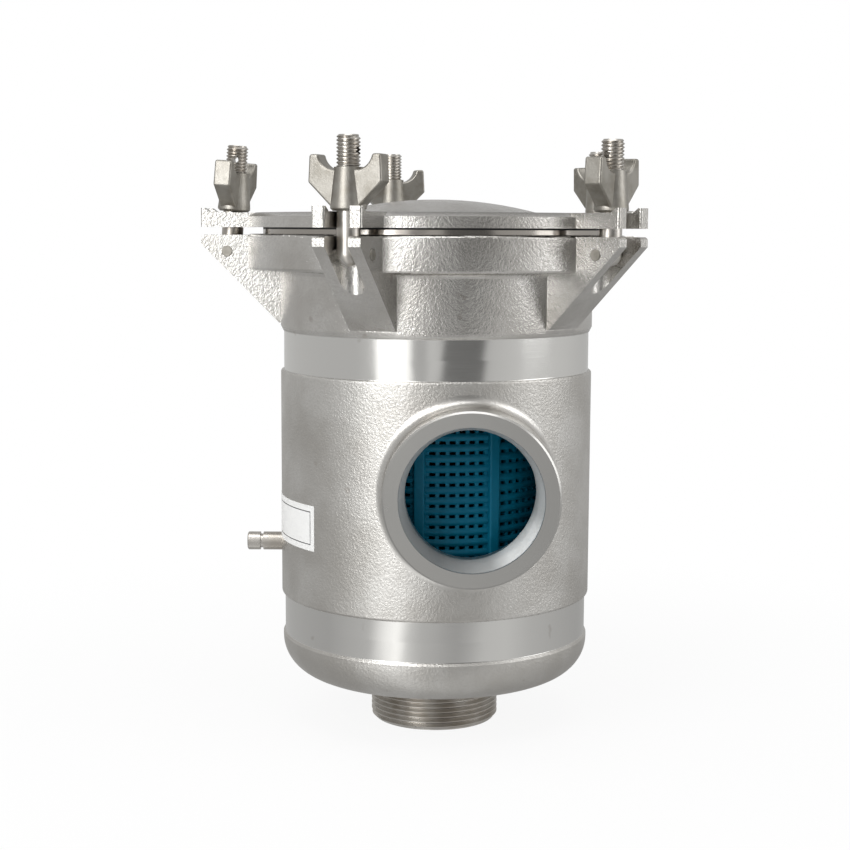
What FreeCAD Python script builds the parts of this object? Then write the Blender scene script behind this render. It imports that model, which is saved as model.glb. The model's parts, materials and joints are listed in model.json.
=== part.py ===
import FreeCAD, Part
import math
import os
import re
import Sketcher

# Side inlet strainer, millimetres. The origin is the centre of the outlet's end face, +Z runs up the
# vessel's axis and the side inlet opens towards -Y. Azimuths turn from the inlet towards +X.

# Driving sizes, kept in the document's spreadsheet

driving_sizes = {
    "outlet_thread_diameter": 59.614,
    "outlet_thread_length": 23.0,
    "outlet_bore_diameter": 51.0,
    "outlet_end_chamfer": 1.6,
    "outlet_relief_height": 1.2,
    "outlet_spigot_diameter": 56.6,
    "vessel_radius": 72.0,
    "band_cut": 1.5,
    "vessel_wall": 5.5,
    "casting_edge": 1.2,
    "cap_rim_step": 0.6,
    "cap_depth": 19.8,
    "cap_floor": 6.0,
    "cap_corner_radius": 17.0,
    "seat_width": 8.5,
    "seat_height": 4.0,
    "lower_band_height": 18.1,
    "barrel_height": 104.3,
    "upper_band_height": 17.9,
    "neck_height": 27.9,
    "neck_bore_radius": 62.0,
    "neck_foot_rise": 2.4,
    "neck_taper_start": 12.0,
    "neck_taper_end": 6.0,
    "ring_radius": 86.8,
    "ring_height": 16.0,
    "ring_edge": 1.5,
    "neck_root_fillet": 2.5,
    "joint_face_radius": 79.8,
    "joint_face_height": 2.2,
    "gasket_thickness": 0.8,
    "gasket_width": 9.0,
    "clamp_count": 5,
    "first_clamp_azimuth": 50.0,
    "pin_drop": 11.0,
    "pin_diameter": 5.0,
    "pin_clearance": 0.05,
    "pin_end_height": 0.4,
    "clamp_reach": 108.0,
    "pin_edge_distance": 12.0,
    "lug_width": 21.5,
    "lug_top_gap": 0.5,
    "lug_nose_height": 4.2,
    "lug_slope_angle": 45.0,
    "lug_slot_depth": 8.0,
    "lug_nose_rounding": 1.6,
    "fork_slot_width": 10.6,
    "cover_edge_height": 4.8,
    "cover_plate_height": 6.6,
    "cover_bevel_width": 3.4,
    "cover_dome_radius": 48.0,
    "cover_dome_rise": 6.4,
    "cover_arm_overlap": 10.2,
    "cover_arm_width": 22.5,
    "cover_slot_depth": 6.7,
    "cover_lip_rise": 2.1,
    "cover_lip_flat": 1.6,
    "cover_lip_ramp": 2.8,
    "prong_corner_fillet": 1.0,
    "spigot_depth": 4.0,
    "spigot_width": 9.0,
    "spigot_clearance": 0.6,
    "cover_recess_height": 1.5,
    "bolt_diameter": 9.9,
    "bolt_height": 48.5,
    "bolt_end_chamfer": 0.9,
    "bolt_wire_hole_diameter": 3.0,
    "bolt_wire_hole_drop": 6.5,
    "nut_bore_clearance": 0.05,
    "nut_seat_gap": 0.15,
    "nut_base_radius": 7.5,
    "nut_base_edge": 1.0,
    "nut_collar_height": 0.8,
    "nut_hub_top_radius": 5.9,
    "nut_hub_height": 17.7,
    "wing_span": 33.0,
    "wing_thickness": 8.2,
    "wing_root_height": 1.8,
    "wing_corner_height": 11.6,
    "wing_tip_height": 22.9,
    "wing_tip_lean": 0.6,
    "wing_tip_width": 3.8,
    "wing_corner_fillet": 1.2,
    "wing_edge_fillet": 0.9,
    "wing_saddle_depth": 1.1,
    "inlet_height": 117.0,
    "inlet_offset": 15.2,
    "inlet_face_height": 16.0,
    "inlet_outer_diameter": 75.4,
    "inlet_mouth_diameter": 61.8,
    "inlet_throat_diameter": 56.656,
    "inlet_mouth_depth": 13.0,
    "inlet_thread_depth": 13.0,
    "inlet_relief": 1.0,
    "inlet_face_chamfer": 0.8,
    "inlet_root_fillet": 5.0,
    "bonding_azimuth": -90.0,
    "bonding_height": 83.0,
    "bonding_boss_diameter": 8.5,
    "bonding_boss_height": 8.9,
    "bonding_washer_diameter": 6.6,
    "bonding_washer_thickness": 1.5,
    "bonding_screw_diameter": 5.0,
    "bonding_head_diameter": 8.5,
    "bonding_head_height": 5.9,
    "bonding_head_edge": 0.5,
    "bonding_socket_width": 4.0,
    "bonding_socket_depth": 2.6,
    "bonding_screw_depth": 6.0,
    "bonding_screw_clearance": 0.05,
    "bonding_hole_depth": 7.0,
    "seal_thickness": 2.0,
    "seal_margin": 0.6,
    "basket_radius": 53.2,
    "basket_wall": 2.4,
    "basket_rib_count": 10,
    "basket_rib_width": 5.0,
    "basket_rib_radius": 55.4,
    "basket_rib_azimuth": 28.5,
    "basket_height": 168.0,
    "basket_base_thickness": 4.5,
    "basket_base_hole_margin": 1.0,
    "basket_lid_thickness": 4.0,
    "basket_lid_edge": 1.0,
    "slot_row_count": 20,
    "slot_height": 3.6,
    "handle_wire_diameter": 5.0,
    "handle_span": 52.0,
    "handle_bend_radius": 8.0,
    "handle_cover_gap": 0.3,
    "cut_margin": 1.0,
}

# Lean of each swing bolt towards the vessel's axis, and turn of each wing nut from the tangent
clamp_leans = [-0.8, 3.4, 0.0, 4.0, 0.0]
nut_turns = [4.0, 0.0, 0.0, -12.0, 0.0]

# Stations up the vessel's axis and other sizes that follow from the driving ones
derived_sizes = {
    "cap_rim_level": "outlet_thread_length + cap_depth",
    "lower_seam_level": "cap_rim_level + lower_band_height / 2",
    "barrel_bottom_level": "cap_rim_level + lower_band_height",
    "barrel_top_level": "barrel_bottom_level + barrel_height",
    "upper_seam_level": "barrel_top_level + upper_band_height / 2",
    "neck_bottom_level": "barrel_top_level + upper_band_height",
    "ring_bottom_level": "neck_bottom_level + neck_height",
    "ring_top_level": "ring_bottom_level + ring_height",
    "joint_face_level": "ring_top_level + joint_face_height",
    "cover_level": "joint_face_level + gasket_thickness",
    "cover_top_level": "cover_level + cover_plate_height",
    "spigot_level": "cover_level - spigot_depth",
    "spigot_radius": "neck_bore_radius - spigot_clearance",
    "recess_level": "cover_level + cover_recess_height",
    "pin_level": "cover_level - pin_drop",
    "floor_level": "outlet_thread_length + cap_floor",
    "seat_level": "floor_level + seat_height",
    "outlet_radius": "outlet_thread_diameter / 2",
    "vessel_bore_radius": "vessel_radius - vessel_wall",
    "band_radius": "vessel_radius - band_cut",
    "cap_rim_radius": "vessel_radius - cap_rim_step",
    "seat_rim_radius": "outlet_radius + seat_width",
    "basket_level": "seat_level + seal_thickness",
    "screen_level": "basket_level + basket_base_thickness",
    "basket_lid_level": "basket_level + basket_height",
    "slot_row_pitch": "(basket_lid_level - screen_level + slot_height) / (slot_row_count + 1)",
    "clamp_pitch": "360 / clamp_count",
    "pin_circle_radius": "clamp_reach - pin_edge_distance",
    "lug_slot_start": "pin_circle_radius - lug_slot_depth",
    "cover_slot_start": "pin_circle_radius - cover_slot_depth",
    "inlet_face_reach": "vessel_radius + inlet_face_height",
    "inlet_throat_reach": "inlet_face_reach - inlet_mouth_depth",
    "inlet_thread_end": "inlet_throat_reach - inlet_thread_depth",
    "inlet_relief_radius": "inlet_throat_diameter / 2 + inlet_relief",
    "bonding_boss_reach": "vessel_radius + bonding_boss_height",
    "nut_base_flat": "nut_base_radius - nut_base_edge",
}


def clamp_sizes():
    """Azimuth, bolt lean, nut turn and height of the nut along its bolt, for each clamp."""
    given = {}
    formulas = {}
    for index in range(driving_sizes["clamp_count"]):
        number = index + 1
        given["clamp_lean_%d" % number] = clamp_leans[index] if index < len(clamp_leans) else 0
        given["nut_turn_%d" % number] = nut_turns[index] if index < len(nut_turns) else 0
        lean = "clamp_lean_%d" % number
        rise = "(pin_drop + cover_plate_height + nut_seat_gap) / cos(%s)" % lean
        formulas["clamp_azimuth_%d" % number] = "first_clamp_azimuth + %d * clamp_pitch" % index
        formulas["nut_rise_%d" % number] = rise + " + nut_base_flat * abs(tan(%s))" % lean
    return given, formulas


def make_sheet(doc):
    """Spreadsheet with one alias for each size; derived sizes are formulas on the driving ones."""
    sheet = doc.addObject("Spreadsheet::Sheet", "Sizes")
    given, formulas = clamp_sizes()
    cells = {alias: str(value) for alias, value in {**driving_sizes, **given}.items()}
    cells.update({alias: "=" + formula for alias, formula in {**derived_sizes, **formulas}.items()})
    for row, (alias, content) in enumerate(cells.items(), start=1):
        sheet.set("A%d" % row, alias)
        sheet.set("B%d" % row, content)
        sheet.setAlias("B%d" % row, alias)
    doc.recompute()
    return sheet, set(cells)


# Lengths closer than this count as the same
near = 1e-3

doc = FreeCAD.newDocument("side_inlet_strainer")
sheet, size_names = make_sheet(doc)


def bound(formula):
    """The formula with each size written as a reference into the sheet."""
    return re.sub(r"[A-Za-z_]\w*", lambda word: "Sizes." * (word[0] in size_names) + word[0], formula)


def value_of(formula):
    """Value of a formula on the sheet's sizes, as a plain number."""
    result = sheet.evalExpression(bound(formula))
    return float(getattr(result, "Value", result))


def new_body(name):
    body = doc.addObject("PartDesign::Body", name)
    body.Label = name
    return body


def origin_plane(body, role):
    return next(item for item in body.Origin.OriginFeatures if item.Role == role)


def new_sketch(body, name, role):
    sketch = body.newObject("Sketcher::SketchObject", name)
    sketch.AttachmentSupport = [(origin_plane(body, role), "")]
    sketch.MapMode = "FlatFace"
    return sketch


def pin_point(sketch, geometry, end, formulas):
    """Fix one sketch point at a distance from the sketch's origin along both axes."""
    for kind, axis, formula in (("DistanceX", -2, formulas[0]), ("DistanceY", -1, formulas[1])):
        if formula == "0":
            sketch.addConstraint(Sketcher.Constraint("PointOnObject", geometry, end, axis))
            continue
        start = value_of(formula)
        number = sketch.addConstraint(Sketcher.Constraint(kind, -1, 1, geometry, end, start))
        sketch.setExpression("Constraints[%d]" % number, bound(formula))


def draw_outline(sketch, corners):
    """Closed outline through corners given as formulas; a corner's third entry makes the side that
    follows it an arc, and gives the place of the arc's centre along the sketch's X axis."""
    points = [FreeCAD.Vector(value_of(corner[0]), value_of(corner[1]), 0) for corner in corners]
    sides = []
    for index, corner in enumerate(corners):
        start = points[index]
        stop = points[(index + 1) % len(points)]
        if len(corner) < 3:
            sides.append((sketch.addGeometry(Part.LineSegment(start, stop)), 1, 2))
        else:
            sides.append(draw_arc(sketch, start, stop, corner[2]))
    for index, corner in enumerate(corners):
        geometry, first, last = sides[index]
        following = sides[(index + 1) % len(sides)]
        sketch.addConstraint(Sketcher.Constraint("Coincident", geometry, last, following[0], following[1]))
        pin_point(sketch, geometry, first, corner)
        if len(corner) == 3:
            pin_centre(sketch, geometry, corner[2])


def draw_arc(sketch, start, stop, centre_formula):
    """Arc of up to half a turn between two points; gives its geometry and its two end numbers."""
    chord = stop - start
    middle = (start + stop) * 0.5
    centre_x = value_of(centre_formula)
    centre_y = middle.y - (centre_x - middle.x) * chord.x / chord.y
    centre = FreeCAD.Vector(centre_x, centre_y, 0)
    circle = Part.Circle(centre, FreeCAD.Vector(0, 0, 1), centre.distanceToPoint(start))
    start_angle = math.atan2(start.y - centre_y, start.x - centre_x)
    stop_angle = math.atan2(stop.y - centre_y, stop.x - centre_x)
    turn = (stop_angle - start_angle) % math.tau
    if turn <= math.pi + 1e-6:
        return sketch.addGeometry(Part.ArcOfCircle(circle, start_angle, stop_angle)), 1, 2
    return sketch.addGeometry(Part.ArcOfCircle(circle, stop_angle, start_angle)), 2, 1


def pin_centre(sketch, geometry, formula):
    """Fix an arc's centre at a distance along the sketch's X axis."""
    if formula == "0":
        sketch.addConstraint(Sketcher.Constraint("PointOnObject", geometry, 3, -2))
        return
    constraint = Sketcher.Constraint("DistanceX", -1, 1, geometry, 3, value_of(formula))
    number = sketch.addConstraint(constraint)
    sketch.setExpression("Constraints[%d]" % number, bound(formula))


def draw_circle(sketch, centre, radius):
    """Circle whose centre and radius are formulas."""
    place = FreeCAD.Vector(value_of(centre[0]), value_of(centre[1]), 0)
    circle = Part.Circle(place, FreeCAD.Vector(0, 0, 1), value_of(radius))
    geometry = sketch.addGeometry(circle)
    pin_point(sketch, geometry, 3, centre)
    number = sketch.addConstraint(Sketcher.Constraint("Radius", geometry, value_of(radius)))
    sketch.setExpression("Constraints[%d]" % number, bound(radius))


def revolve(body, name, corners, role="XZ_Plane"):
    """Full turn of an outline about the body's Z axis."""
    sketch = new_sketch(body, name + "_outline", role)
    draw_outline(sketch, corners)
    feature = body.newObject("PartDesign::Revolution", name)
    feature.Profile = sketch
    feature.ReferenceAxis = (sketch, ["V_Axis"])
    feature.Angle = 360
    doc.recompute()
    return feature


def pad(body, name, sketch, length, symmetric=False, reverse=False):
    feature = body.newObject("PartDesign::Pad", name)
    feature.Profile = sketch
    feature.setExpression("Length", bound(length))
    feature.Midplane = symmetric
    feature.Reversed = reverse
    doc.recompute()
    return feature


def pocket(body, name, sketch, length=None, symmetric=False, reverse=False):
    """Pocket of a bound depth, or through all; it has to take material away."""
    volume = body.Shape.Volume
    feature = body.newObject("PartDesign::Pocket", name)
    feature.Profile = sketch
    feature.Midplane = symmetric
    feature.Reversed = reverse
    if length is None:
        feature.Type = "ThroughAll"
    else:
        feature.setExpression("Length", bound(length))
    doc.recompute()
    if feature.Shape.Volume >= volume - near:
        raise RuntimeError(name + " takes nothing away")
    return feature


def polar_pattern(body, name, features, count):
    pattern = body.newObject("PartDesign::PolarPattern", name)
    pattern.Originals = features
    pattern.Axis = (origin_plane(body, "Z_Axis"), [""])
    pattern.Angle = 360
    pattern.setExpression("Occurrences", bound(count))
    body.Tip = pattern
    doc.recompute()
    return pattern


def edge_names(shape, wanted):
    return ["Edge%d" % (index + 1) for index, edge in enumerate(shape.Edges)
            if not edge.Degenerated and wanted(edge)]


def dress_edges(body, kind, name, base, wanted, radius):
    """Fillet or chamfer on the edges of the base feature that the test picks."""
    names = edge_names(base.Shape, wanted)
    if not names:
        raise RuntimeError(name + " finds no edge")
    feature = body.newObject("PartDesign::" + kind, name)
    feature.Base = (base, names)
    feature.setExpression("Radius" if kind == "Fillet" else "Size", bound(radius))
    body.Tip = feature
    doc.recompute()
    return feature


def ring_edge(radius, level):
    """Test for a full circle about the Z axis with this radius at this height."""
    wanted_radius = value_of(radius)
    wanted_level = value_of(level)

    def test(edge):
        curve = edge.Curve
        if not isinstance(curve, Part.Circle):
            return False
        same_radius = abs(curve.Radius - wanted_radius) < near
        same_level = abs(curve.Center.z - wanted_level) < near
        centred = math.hypot(curve.Center.x, curve.Center.y) < near
        return same_radius and same_level and centred
    return test


def any_edge(*tests):
    return lambda edge: any(test(edge) for test in tests)


# Outlet, bottom cap and vessel castings

def build_outlet_nipple():
    """Nipple with a spigot welded into the cap; its outside is the thread's major diameter."""
    body = new_body("outlet_nipple")
    base = revolve(body, "nipple_tube", [
        ("outlet_bore_diameter / 2", "0"),
        ("outlet_radius", "0"),
        ("outlet_radius", "outlet_thread_length - outlet_relief_height"),
        ("outlet_spigot_diameter / 2", "outlet_thread_length - outlet_relief_height"),
        ("outlet_spigot_diameter / 2", "seat_level"),
        ("outlet_bore_diameter / 2", "seat_level"),
    ])
    dress_edges(body, "Chamfer", "nipple_lead", base, ring_edge("outlet_radius", "0"),
                "outlet_end_chamfer")


def build_bottom_cap():
    """Domed bottom with a raised seat for the basket round the outlet."""
    body = new_body("bottom_cap")
    base = revolve(body, "cap_shell", [
        ("outlet_spigot_diameter / 2", "outlet_thread_length"),
        ("cap_rim_radius", "outlet_thread_length"),
        ("cap_rim_radius", "cap_rim_level - casting_edge"),
        ("band_radius", "cap_rim_level"),
        ("band_radius", "lower_seam_level"),
        ("vessel_bore_radius", "lower_seam_level"),
        ("vessel_bore_radius", "floor_level"),
        ("seat_rim_radius", "floor_level"),
        ("seat_rim_radius", "seat_level"),
        ("outlet_spigot_diameter / 2", "seat_level"),
    ])
    corner = dress_edges(body, "Fillet", "cap_corner", base,
                         ring_edge("cap_rim_radius", "outlet_thread_length"), "cap_corner_radius")
    dress_edges(body, "Fillet", "cap_inner_corner", corner,
                ring_edge("vessel_bore_radius", "floor_level"), "cap_corner_radius - vessel_wall")


def build_body_casting():
    """Middle casting with both ends machined down to the bands and the side opening cut through."""
    body = new_body("body_casting")
    base = revolve(body, "barrel", [
        ("vessel_bore_radius", "lower_seam_level"),
        ("band_radius", "lower_seam_level"),
        ("band_radius", "barrel_bottom_level"),
        ("vessel_radius", "barrel_bottom_level"),
        ("vessel_radius", "barrel_top_level"),
        ("band_radius", "barrel_top_level"),
        ("band_radius", "upper_seam_level"),
        ("vessel_bore_radius", "upper_seam_level"),
    ])
    edges = any_edge(ring_edge("vessel_radius", "barrel_bottom_level"),
                     ring_edge("vessel_radius", "barrel_top_level"))
    dress_edges(body, "Fillet", "barrel_edges", base, edges, "casting_edge")
    opening = new_sketch(body, "side_opening_outline", "XZ_Plane")
    draw_circle(opening, ("inlet_offset", "inlet_height"), "inlet_throat_diameter / 2")
    inwards = opening_reversed(opening)
    pocket(body, "side_opening", opening, "vessel_radius + cut_margin", reverse=inwards)
    relief = new_sketch(body, "opening_relief_outline", "XZ_Plane")
    draw_circle(relief, ("inlet_offset", "inlet_height"), "inlet_relief_radius")
    pocket(body, "opening_relief", relief, "inlet_thread_end", reverse=inwards)


def opening_reversed(sketch):
    """A pocket cuts against its sketch's normal, and the inlet lies towards -Y."""
    doc.recompute()
    normal = sketch.Placement.Rotation.multVec(FreeCAD.Vector(0, 0, 1))
    return normal.y < 0


def build_neck_casting():
    """Neck, clamping ring and forked lugs in one casting, turned to the first clamp."""
    body = new_body("neck_casting")
    base = revolve(body, "neck_and_ring", [
        ("vessel_bore_radius", "upper_seam_level"),
        ("band_radius", "upper_seam_level"),
        ("band_radius", "neck_bottom_level"),
        ("vessel_radius - casting_edge", "neck_bottom_level"),
        ("vessel_radius", "neck_bottom_level + neck_foot_rise"),
        ("vessel_radius", "ring_bottom_level"),
        ("ring_radius", "ring_bottom_level"),
        ("ring_radius", "ring_top_level"),
        ("joint_face_radius", "ring_top_level"),
        ("joint_face_radius", "joint_face_level"),
        ("neck_bore_radius", "joint_face_level"),
        ("neck_bore_radius", "ring_bottom_level - neck_taper_end"),
        ("vessel_bore_radius", "ring_bottom_level - neck_taper_start"),
    ])
    rounded = dress_edges(body, "Fillet", "neck_root", base,
                          ring_edge("vessel_radius", "ring_bottom_level"), "neck_root_fillet")
    outer = any_edge(ring_edge("ring_radius", "ring_bottom_level"),
                     ring_edge("ring_radius", "ring_top_level"))
    dress_edges(body, "Fillet", "ring_edges", rounded, outer, "ring_edge")
    outline = new_sketch(body, "lug_outline", "XZ_Plane")
    lug_top = "ring_top_level - lug_top_gap"
    nose_start = "clamp_reach - lug_nose_rounding"
    nose_level = lug_top + " - lug_nose_height"
    slope_end = nose_level + " - (clamp_reach - vessel_radius) * tan(lug_slope_angle)"
    draw_outline(outline, [
        ("vessel_radius - vessel_wall", lug_top),
        (nose_start, lug_top, nose_start),
        ("clamp_reach", lug_top + " - lug_nose_rounding"),
        ("clamp_reach", nose_level),
        ("vessel_radius", slope_end),
        ("vessel_radius - vessel_wall", slope_end),
    ])
    lug = pad(body, "lug", outline, "lug_width", symmetric=True)
    slot_outline = new_sketch(body, "lug_slot_outline", "XY_Plane")
    draw_slot(slot_outline, "lug_slot_start", "clamp_reach + fork_slot_width")
    slot = pocket(body, "lug_slot", slot_outline, "cover_level", reverse=True)
    hole_outline = new_sketch(body, "pin_hole_outline", "XZ_Plane")
    draw_circle(hole_outline, ("pin_circle_radius", "pin_level"), "pin_diameter / 2 + pin_clearance")
    hole = pocket(body, "pin_hole", hole_outline, "lug_width + 2 * cut_margin", symmetric=True)
    polar_pattern(body, "lug_pattern", [lug, slot, hole], "clamp_count")
    body.setExpression("Placement.Rotation.Angle", bound("first_clamp_azimuth - 90"))


def draw_slot(sketch, start, end):
    """Slot along X, open at its outer end, with a round inner end that starts at this radius."""
    half = "fork_slot_width / 2"
    centre = start + " + " + half
    draw_outline(sketch, [
        (end, "-" + half),
        (end, half),
        (centre, half, centre),
        (centre, "-" + half),
    ])


def groove(body, name, corners, role="XZ_Plane"):
    """Full turn of an outline about the body's Z axis, taken away."""
    volume = body.Shape.Volume
    sketch = new_sketch(body, name + "_outline", role)
    draw_outline(sketch, corners)
    feature = body.newObject("PartDesign::Groove", name)
    feature.Profile = sketch
    feature.ReferenceAxis = (sketch, ["V_Axis"])
    feature.Angle = 360
    doc.recompute()
    if feature.Shape.Volume >= volume - near:
        raise RuntimeError(name + " takes nothing away")
    return feature


def build_inlet_socket():
    """Side socket, built along its own axis, which passes beside the vessel's: a collar blended into
    the vessel's curve, which is then cut away, and a conical mouth that narrows to the throat."""
    body = new_body("inlet_socket")
    vessel = new_sketch(body, "vessel_outline", "XZ_Plane")
    draw_circle(vessel, ("-inlet_offset", "0"), "vessel_radius")
    pad(body, "vessel", vessel, "inlet_outer_diameter + 4 * inlet_root_fillet", symmetric=True)
    outline = new_sketch(body, "collar_outline", "XY_Plane")
    draw_circle(outline, ("0", "0"), "inlet_outer_diameter / 2")
    collar = pad(body, "collar", outline, "inlet_face_reach")
    radius = value_of("vessel_radius")
    offset = value_of("inlet_offset")

    def saddle(edge):
        points = edge.discretize(9)
        on_vessel = all(abs(math.hypot(point.x + offset, point.z) - radius) < near for point in points)
        in_front = all(point.z > 0 for point in points)
        return on_vessel and in_front and not isinstance(edge.Curve, (Part.Circle, Part.Line))

    root = dress_edges(body, "Fillet", "collar_root", collar, saddle, "inlet_root_fillet")
    dress_edges(body, "Chamfer", "collar_rim", root,
                ring_edge("inlet_outer_diameter / 2", "inlet_face_reach"), "inlet_face_chamfer")
    bed = new_sketch(body, "bed_outline", "XZ_Plane")
    draw_circle(bed, ("-inlet_offset", "0"), "vessel_radius")
    pocket(body, "bed", bed, "inlet_outer_diameter + 6 * inlet_root_fillet", symmetric=True)
    groove(body, "mouth", [
        ("0", "vessel_bore_radius / 2"),
        ("inlet_relief_radius", "vessel_bore_radius / 2"),
        ("inlet_relief_radius", "inlet_thread_end"),
        ("inlet_throat_diameter / 2", "inlet_thread_end"),
        ("inlet_throat_diameter / 2", "inlet_throat_reach"),
        ("inlet_mouth_diameter / 2", "inlet_face_reach"),
        ("inlet_mouth_diameter / 2", "inlet_face_reach + cut_margin"),
        ("0", "inlet_face_reach + cut_margin"),
    ])
    body.setExpression("Placement", bound("placement(vector(inlet_offset; 0; inlet_height); rotationx(90))"))


# Bonding point on the vessel's side

def bonding_placement(reach):
    """Placement with the local Z axis pointing out of the vessel at the bonding point."""
    return bound("placement(vector((%s) * sin(bonding_azimuth); -(%s) * cos(bonding_azimuth); "
                 "bonding_height); rotationz(bonding_azimuth - 90) * rotationy(90))" % (reach, reach))


def build_bonding_boss():
    body = new_body("bonding_boss")
    outline = new_sketch(body, "boss_outline", "XY_Plane")
    draw_circle(outline, ("0", "0"), "bonding_boss_diameter / 2")
    pad(body, "boss", outline, "bonding_boss_reach")
    bed = new_sketch(body, "boss_bed_outline", "YZ_Plane")
    draw_circle(bed, ("0", "0"), "vessel_radius")
    pocket(body, "boss_bed", bed, "bonding_boss_diameter + 2 * cut_margin", symmetric=True)
    groove(body, "boss_hole", [
        ("0", "bonding_boss_reach - bonding_hole_depth"),
        ("bonding_screw_diameter / 2 + bonding_screw_clearance", "bonding_boss_reach - bonding_hole_depth"),
        ("bonding_screw_diameter / 2 + bonding_screw_clearance", "bonding_boss_reach + cut_margin"),
        ("0", "bonding_boss_reach + cut_margin"),
    ])
    body.setExpression("Placement", bonding_placement("0"))


def build_bonding_washer():
    body = new_body("bonding_washer")
    revolve(body, "washer", [
        ("bonding_screw_diameter / 2 + bonding_screw_clearance", "0"),
        ("bonding_washer_diameter / 2", "0"),
        ("bonding_washer_diameter / 2", "bonding_washer_thickness"),
        ("bonding_screw_diameter / 2 + bonding_screw_clearance", "bonding_washer_thickness"),
    ])
    body.setExpression("Placement", bonding_placement("bonding_boss_reach"))


def build_bonding_screw():
    """Cap screw with a hexagon socket; its head bears on the washer."""
    body = new_body("bonding_screw")
    base = revolve(body, "screw", [
        ("0", "-bonding_screw_depth"),
        ("bonding_screw_diameter / 2", "-bonding_screw_depth"),
        ("bonding_screw_diameter / 2", "bonding_washer_thickness"),
        ("bonding_head_diameter / 2", "bonding_washer_thickness"),
        ("bonding_head_diameter / 2", "bonding_washer_thickness + bonding_head_height"),
        ("0", "bonding_washer_thickness + bonding_head_height"),
    ])
    rim = ring_edge("bonding_head_diameter / 2", "bonding_washer_thickness + bonding_head_height")
    dress_edges(body, "Chamfer", "head_rim", base, rim, "bonding_head_edge")
    hexagon = new_sketch(body, "socket_outline", "XY_Plane")
    corner = "bonding_socket_width / sqrt(3) * %s(%d)"
    draw_outline(hexagon, [(corner % ("cos", turn), corner % ("sin", turn)) for turn in range(30, 390, 60)])
    hexagon.setExpression("AttachmentOffset.Base.z", bound("bonding_washer_thickness + bonding_head_height"))
    doc.recompute()
    pocket(body, "socket", hexagon, "bonding_socket_depth")
    body.setExpression("Placement", bonding_placement("bonding_boss_reach"))


# Cover and gasket

def build_cover():
    """Domed lid with a locating spigot and five forked arms, turned to the first clamp."""
    body = new_body("cover")
    revolve(body, "lid", [
        ("0", "recess_level"),
        ("spigot_radius - spigot_width", "recess_level"),
        ("spigot_radius - spigot_width", "spigot_level"),
        ("spigot_radius", "spigot_level"),
        ("spigot_radius", "cover_level"),
        ("ring_radius", "cover_level"),
        ("ring_radius", "cover_level + cover_edge_height"),
        ("ring_radius - cover_bevel_width", "cover_top_level"),
        ("cover_dome_radius", "cover_top_level", "0"),
        ("0", "cover_top_level + cover_dome_rise"),
    ])
    outline = new_sketch(body, "arm_outline", "XZ_Plane")
    lip_level = "cover_top_level + cover_lip_rise"
    root = "ring_radius - cover_arm_overlap"
    draw_outline(outline, [
        (root, "cover_level"),
        ("clamp_reach", "cover_level"),
        ("clamp_reach", lip_level),
        ("clamp_reach - cover_lip_flat", lip_level),
        ("clamp_reach - cover_lip_flat - cover_lip_ramp", "cover_top_level"),
        (root, "cover_top_level"),
    ])
    arm = pad(body, "arm", outline, "cover_arm_width", symmetric=True)
    slot_outline = new_sketch(body, "arm_slot_outline", "XY_Plane")
    draw_slot(slot_outline, "cover_slot_start", "clamp_reach + fork_slot_width")
    slot = pocket(body, "arm_slot", slot_outline, "cover_top_level + cover_lip_rise + cut_margin", reverse=True)
    pattern = polar_pattern(body, "arm_pattern", [arm, slot], "clamp_count")
    reach = value_of("clamp_reach")

    def prong_corner(edge):
        box = edge.BoundBox
        far = math.hypot(box.Center.x, box.Center.y) > reach - near
        return far and box.ZLength > 1 and isinstance(edge.Curve, Part.Line)

    dress_edges(body, "Fillet", "prong_corners", pattern, prong_corner, "prong_corner_fillet")
    body.setExpression("Placement.Rotation.Angle", bound("first_clamp_azimuth - 90"))


def build_ring(name, inner, outer, bottom, top):
    """Flat ring between two radii and two heights."""
    body = new_body(name)
    revolve(body, name + "_ring", [(inner, bottom), (outer, bottom), (outer, top), (inner, top)])


# Clamps: pivot pin, swing bolt and wing nut

def clamp_placement(number, along="0", turn="0", across=False):
    """Placement at a distance along a clamp's bolt from its pivot, with the local Z axis along the
    bolt and the local X axis outwards; across turns the local Z axis onto the pivot instead."""
    lean = "clamp_lean_%d" % number
    azimuth = "clamp_azimuth_%d" % number
    radius = "(pin_circle_radius - (%s) * sin(%s))" % (along, lean)
    height = "pin_level + (%s) * cos(%s)" % (along, lean)
    place = "vector(%s * sin(%s); -%s * cos(%s); %s)" % (radius, azimuth, radius, azimuth, height)
    tilt = "rotationx(90)" if across else "rotationy(-%s) * rotationz(%s)" % (lean, turn)
    return bound("placement(%s; rotationz(%s - 90) * %s)" % (place, azimuth, tilt))


def build_pivot_pin(number):
    name = "pivot_pin_%d" % number
    body = new_body(name)
    base = revolve(body, name + "_rod", [
        ("0", "-lug_width / 2 - pin_end_height"),
        ("pin_diameter / 2", "-lug_width / 2 - pin_end_height"),
        ("pin_diameter / 2", "lug_width / 2 + pin_end_height"),
        ("0", "lug_width / 2 + pin_end_height"),
    ])
    ends = any_edge(ring_edge("pin_diameter / 2", "lug_width / 2 + pin_end_height"),
                    ring_edge("pin_diameter / 2", "-lug_width / 2 - pin_end_height"))
    dress_edges(body, "Chamfer", name + "_ends", base, ends, "pin_end_height / 2")
    body.setExpression("Placement", clamp_placement(number, across=True))


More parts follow.
